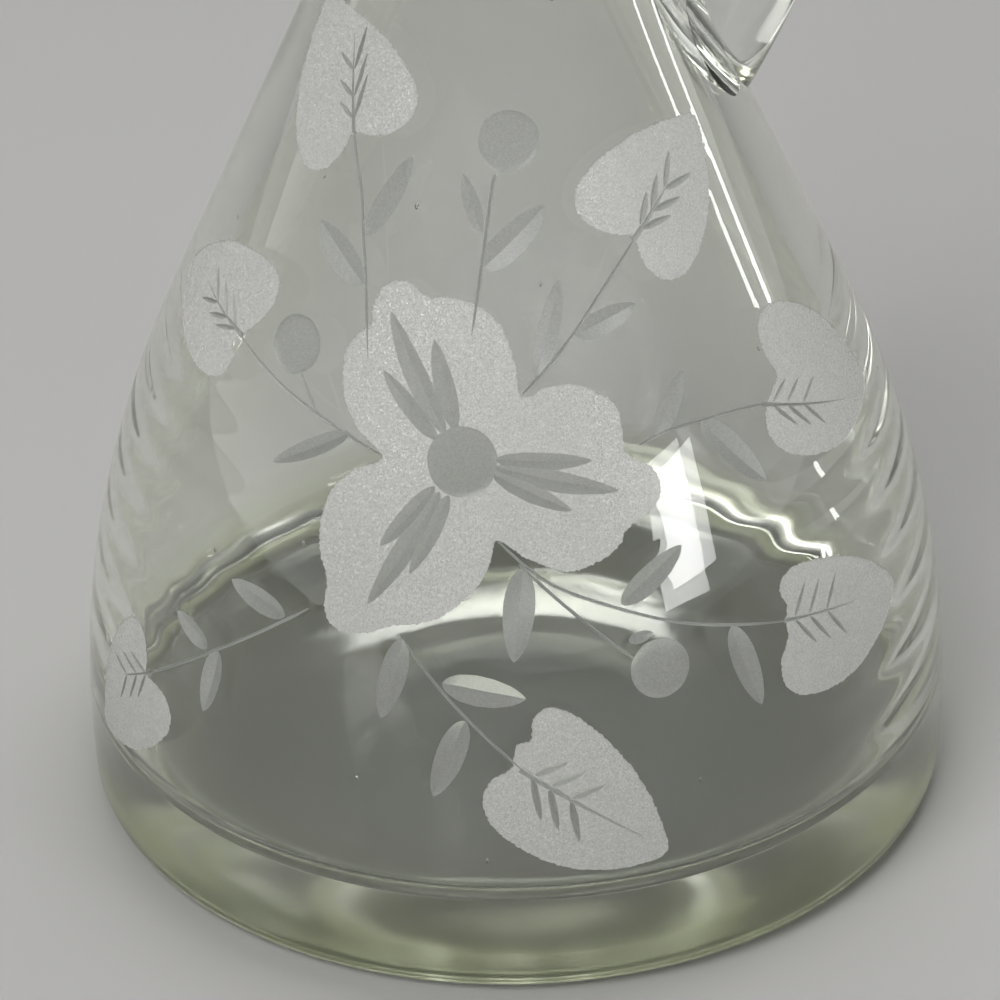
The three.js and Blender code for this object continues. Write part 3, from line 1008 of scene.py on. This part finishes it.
def grit_group():
    """The bite of grit in ground glass: a normal tilted chip by chip, a shade per chip, uneven patches."""
    inputs = [("Vector", "NodeSocketVector"), ("Grain Scale", "NodeSocketFloat")]
    inputs += [("Patch Scale", "NodeSocketFloat"), ("Tilt", "NodeSocketFloat")]
    outputs = [("Normal", "NodeSocketVector"), ("Chips", "NodeSocketFloat"), ("Patches", "NodeSocketFloat")]
    group = shader_group("grit", inputs, outputs)
    start = group.nodes.new("NodeGroupInput")
    end = group.nodes.new("NodeGroupOutput")
    cells = add_node(group, "ShaderNodeTexVoronoi", feature="F1")
    chips = add_node(group, "ShaderNodeSeparateColor")
    patches = add_node(group, "ShaderNodeTexNoise", {"Detail": 4.0, "Roughness": 0.6})
    surface = add_node(group, "ShaderNodeNewGeometry")
    lean = add_node(group, "ShaderNodeVectorMath", {1: (0.5, 0.5, 0.5)}, operation="SUBTRACT")
    tilted = add_node(group, "ShaderNodeVectorMath", operation="MULTIPLY_ADD")
    unit = add_node(group, "ShaderNodeVectorMath", operation="NORMALIZE")
    link(group, start.outputs["Vector"], cells.inputs["Vector"])
    link(group, start.outputs["Grain Scale"], cells.inputs["Scale"])
    link(group, start.outputs["Vector"], patches.inputs["Vector"])
    link(group, start.outputs["Patch Scale"], patches.inputs["Scale"])
    link(group, cells.outputs["Color"], lean.inputs[0], lean.outputs["Vector"], tilted.inputs[0])
    link(group, start.outputs["Tilt"], tilted.inputs[1], surface.outputs["Normal"], tilted.inputs[2])
    link(group, tilted.outputs["Vector"], unit.inputs[0], unit.outputs["Vector"], end.inputs["Normal"])
    link(group, cells.outputs["Color"], chips.inputs["Color"])
    link(group, chips.outputs["Red"], end.inputs["Chips"], patches.outputs["Fac"], end.inputs["Patches"])
    return group


def glass_material(name):
    """The start of a glass: the material, its tree and output, its shader and Object coordinates."""
    material = bpy.data.materials.new(name)
    material.use_nodes = True
    tree = material.node_tree
    tree.nodes.clear()
    output = add_node(tree, "ShaderNodeOutputMaterial")
    shader = add_node(tree, "ShaderNodeBsdfPrincipled", {"IOR": GLASS_IOR, "Metallic": 0.0})
    place = add_node(tree, "ShaderNodeTexCoord")
    link(tree, shader.outputs["BSDF"], output.inputs["Surface"])
    return material, tree, output, shader, place.outputs["Object"]


def between(tree, value, low, high, start=0.0, end=1.0):
    """A value that goes from low to high while another goes from start to end."""
    limits = {"From Min": start, "From Max": end, "To Min": low, "To Max": high}
    span = add_node(tree, "ShaderNodeMapRange", limits)
    link(tree, value, span.inputs["Value"])
    return span.outputs["Result"]


def shaded(tree, mask, shades):
    """A colour that goes through shades, each at its own value of a mask."""
    ramp = add_node(tree, "ShaderNodeValToRGB")
    for _ in shades[2:]:
        ramp.color_ramp.elements.new(0.5)
    for element, (value, shade) in zip(ramp.color_ramp.elements, shades):
        element.position = value
        element.color = (*shade, 1)
    link(tree, mask, ramp.inputs["Fac"])
    return ramp.outputs["Color"]


def relief(tree, shader, height, distance, strength):
    bump = add_node(tree, "ShaderNodeBump", {"Distance": distance * MM, "Strength": strength})
    link(tree, height, bump.inputs["Height"], bump.outputs["Normal"], shader.inputs["Normal"])


def heel_mask(tree, place, height):
    """A mask of the thick heel's outside, from Object coordinates and their height."""
    flat = add_node(tree, "ShaderNodeVectorMath", {1: (1, 1, 0)}, operation="MULTIPLY")
    radius = add_node(tree, "ShaderNodeVectorMath", operation="LENGTH")
    heel = add_node(tree, "ShaderNodeMath", operation="MULTIPLY")
    link(tree, place, flat.inputs[0], flat.outputs["Vector"], radius.inputs[0])
    low, high = (level * MM for level in CAST_HEIGHTS)
    inner, outer = ((BASE_RADIUS - depth) * MM for depth in CAST_SKIN)
    link(tree, between(tree, height, 0.0, CAST_AT_HEEL, high, low), heel.inputs[0])
    link(tree, between(tree, radius.outputs["Value"], 0.0, 1.0, inner, outer), heel.inputs[1])
    return heel.outputs["Value"]


def clear_glass(name, melt, wave_scale, wave_depth, stands=False):
    """Clear glass with its cast at the edges; glass that stands has it at its heel too, and is scuffed."""
    material, tree, output, shader, place = glass_material(name)
    shader.inputs["Transmission Weight"].default_value = 1.0
    edge = add_node(tree, "ShaderNodeLayerWeight", {"Blend": EDGE_BLEND})
    long_way = between(tree, edge.outputs["Facing"], 0.0, CAST_AT_EDGES)
    cast = add_node(tree, "ShaderNodeMix", {7: (*CAST_TINT, 1)}, data_type="RGBA")
    waves = add_node(tree, "ShaderNodeGroup", node_tree=melt)
    waves.inputs["Wave Scale"].default_value = wave_scale
    waves.inputs["Streak Scale"].default_value = wave_scale * 3
    link(tree, place, waves.inputs["Vector"])
    link(tree, shaded(tree, waves.outputs["Streaks"], CLEAR_SHADES), cast.inputs[6])
    gloss = between(tree, waves.outputs["Streaks"], *GLOSS_RANGE)
    if stands:
        split = add_node(tree, "ShaderNodeSeparateXYZ")
        scuffed = add_node(tree, "ShaderNodeMath", operation="ADD")
        longer = add_node(tree, "ShaderNodeMath", operation="MAXIMUM")
        link(tree, place, split.inputs["Vector"])
        height = split.outputs["Z"]
        worn = between(tree, height, 0.0, WEAR, WORN_HEIGHT * MM, 0.0)
        link(tree, worn, scuffed.inputs[0], gloss, scuffed.inputs[1])
        link(tree, long_way, longer.inputs[0], heel_mask(tree, place, height), longer.inputs[1])
        gloss, long_way = scuffed.outputs["Value"], longer.outputs["Value"]
    link(tree, long_way, cast.inputs[0], cast.outputs[2], shader.inputs["Base Color"])
    link(tree, gloss, shader.inputs["Roughness"])
    relief(tree, shader, waves.outputs["Height"], wave_depth, 1.0)
    return material


def ground_glass(name, grit, shades, roughness, passes, glow, grain_scale, tilt):
    """Glass with a broken surface: passes is the share of light let through, glow what it scatters."""
    material, tree, output, shader, place = glass_material(name)
    shader.inputs["Transmission Weight"].default_value = passes
    bite = add_node(tree, "ShaderNodeGroup", node_tree=grit)
    bite.inputs["Grain Scale"].default_value = grain_scale
    bite.inputs["Patch Scale"].default_value = grain_scale / PATCH_SIZE
    bite.inputs["Tilt"].default_value = tilt
    link(tree, place, bite.inputs["Vector"])
    mixed = add_node(tree, "ShaderNodeMix", {0: PATCH_SHARE})
    link(tree, bite.outputs["Chips"], mixed.inputs[2], bite.outputs["Patches"], mixed.inputs[3])
    shade = shaded(tree, mixed.outputs[0], shades)
    scatter = add_node(tree, "ShaderNodeBsdfTranslucent")
    surface = add_node(tree, "ShaderNodeMixShader", {"Fac": glow})
    link(tree, shade, shader.inputs["Base Color"], shade, scatter.inputs["Color"])
    link(tree, shader.outputs["BSDF"], surface.inputs[1], scatter.outputs["BSDF"], surface.inputs[2])
    link(tree, surface.outputs["Shader"], output.inputs["Surface"])
    link(tree, between(tree, bite.outputs["Chips"], *roughness), shader.inputs["Roughness"])
    link(tree, bite.outputs["Normal"], shader.inputs["Normal"])
    return material


def dress(piece, body, node, materials):
    finishes = piece.data.materials
    while len(finishes) < len(materials):
        finishes.append(None)
    for place, material in enumerate(materials):
        finishes[place] = material
    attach(piece, body)
    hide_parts(node)


# Studio


def make_floor():
    clear_selection()
    place = (0, 0, -FLOOR_DROP)
    bpy.ops.mesh.primitive_grid_add(x_subdivisions=4, y_subdivisions=4, size=FLOOR_SIZE, location=place)
    floor = bpy.context.object
    floor.name = "floor"
    material = bpy.data.materials.new("pale_floor")
    material.use_nodes = True
    shader = material.node_tree.nodes["Principled BSDF"]
    shader.inputs["Base Color"].default_value = (*FLOOR_COLOUR, 1)
    shader.inputs["Roughness"].default_value = FLOOR_ROUGHNESS
    shader.inputs["Specular IOR Level"].default_value = FLOOR_SHEEN
    floor.data.materials.append(material)


def make_world():
    """Soft light from all round, paler at the horizon than overhead."""
    world = bpy.data.worlds.new("studio")
    bpy.context.scene.world = world
    world.use_nodes = True
    tree = world.node_tree
    place = add_node(tree, "ShaderNodeTexCoord")
    split = add_node(tree, "ShaderNodeSeparateXYZ")
    link(tree, place.outputs["Generated"], split.inputs["Vector"])
    greys = [(height, (level, level, level)) for height, level in SKY_LEVELS]
    sky = shaded(tree, split.outputs["Z"], greys)
    link(tree, sky, tree.nodes["Background"].inputs["Color"])


def make_lamp(name, place, size, power, spread):
    light = bpy.data.lights.new(name, "AREA")
    light.shape = "RECTANGLE"
    light.size, light.size_y = size
    light.energy = power
    light.spread = math.radians(spread)
    lamp = bpy.data.objects.new(name, light)
    lamp.location = place
    lamp.rotation_euler = (LAMP_TARGET - lamp.location).to_track_quat("-Z", "Y").to_euler()
    lamp.visible_camera = False
    bpy.context.scene.collection.objects.link(lamp)


def make_camera():
    turn, tilt, roll = (math.radians(angle) for angle in (CAMERA_TURN, CAMERA_TILT, CAMERA_ROLL))
    back = Vector((math.sin(turn) * math.cos(tilt), -math.cos(turn) * math.cos(tilt), math.sin(tilt)))
    right = Vector((math.cos(turn), math.sin(turn), 0))
    up = back.cross(right)
    data = bpy.data.cameras.new("camera")
    data.lens = CAMERA_LENS
    data.sensor_width = CAMERA_SENSOR
    data.clip_start = 0.01
    camera = bpy.data.objects.new("camera", data)
    picture_right = right * math.cos(roll) - up * math.sin(roll)
    picture_up = right * math.sin(roll) + up * math.cos(roll)
    camera.matrix_world = Matrix((picture_right, picture_up, back)).transposed().to_4x4()
    aim = right * CAMERA_ASIDE + Vector((0, 0, CAMERA_AIM_HEIGHT))
    camera.location = (aim + back * CAMERA_DISTANCE) * MM
    bpy.context.scene.collection.objects.link(camera)
    bpy.context.scene.camera = camera


clear_selection()
vessel = make_vessel()
handle = make_handle()
stopper = make_stopper()

melt = melt_group()
grit = grit_group()
vessel_clear = clear_glass("vessel_clear", melt, wave_scale=28, wave_depth=0.10, stands=True)
handle_clear = clear_glass("handle_clear", melt, wave_scale=60, wave_depth=0.06)
stopper_clear = clear_glass("stopper_clear", melt, wave_scale=50, wave_depth=0.06)
# The frost's white chips are painted glints over the grain's own grey
vessel_frost = ground_glass(
    "vessel_frost", grit, FROST_SHADES_AND_PAINTED_GLINTS, roughness=(0.5, 0.15),
    passes=0.25, glow=0.2, grain_scale=5600, tilt=0.35,
)
vessel_cut = ground_glass(
    "vessel_cut", grit, CUT_SHADES, roughness=(0.3, 0.42),
    passes=0.6, glow=0.25, grain_scale=5200, tilt=0.06,
)
plug_ground = ground_glass(
    "plug_ground", grit, PLUG_SHADES, roughness=(0.35, 0.5),
    passes=0.7, glow=0.3, grain_scale=6000, tilt=0.06,
)
dress(vessel, "decanter", "vessel", [vessel_clear, vessel_frost, vessel_cut])
dress(handle, "decanter", "handle", [handle_clear])
dress(stopper, "stopper", "stopper", [stopper_clear, plug_ground])

make_floor()
make_world()
for lamp in LAMPS:
    make_lamp(*lamp)
make_camera()
bpy.context.scene.view_settings.view_transform = "Standard"
cycles = bpy.context.scene.cycles
cycles.max_bounces = 40
cycles.transmission_bounces = 40
cycles.glossy_bounces = 24
cycles.use_denoising = True
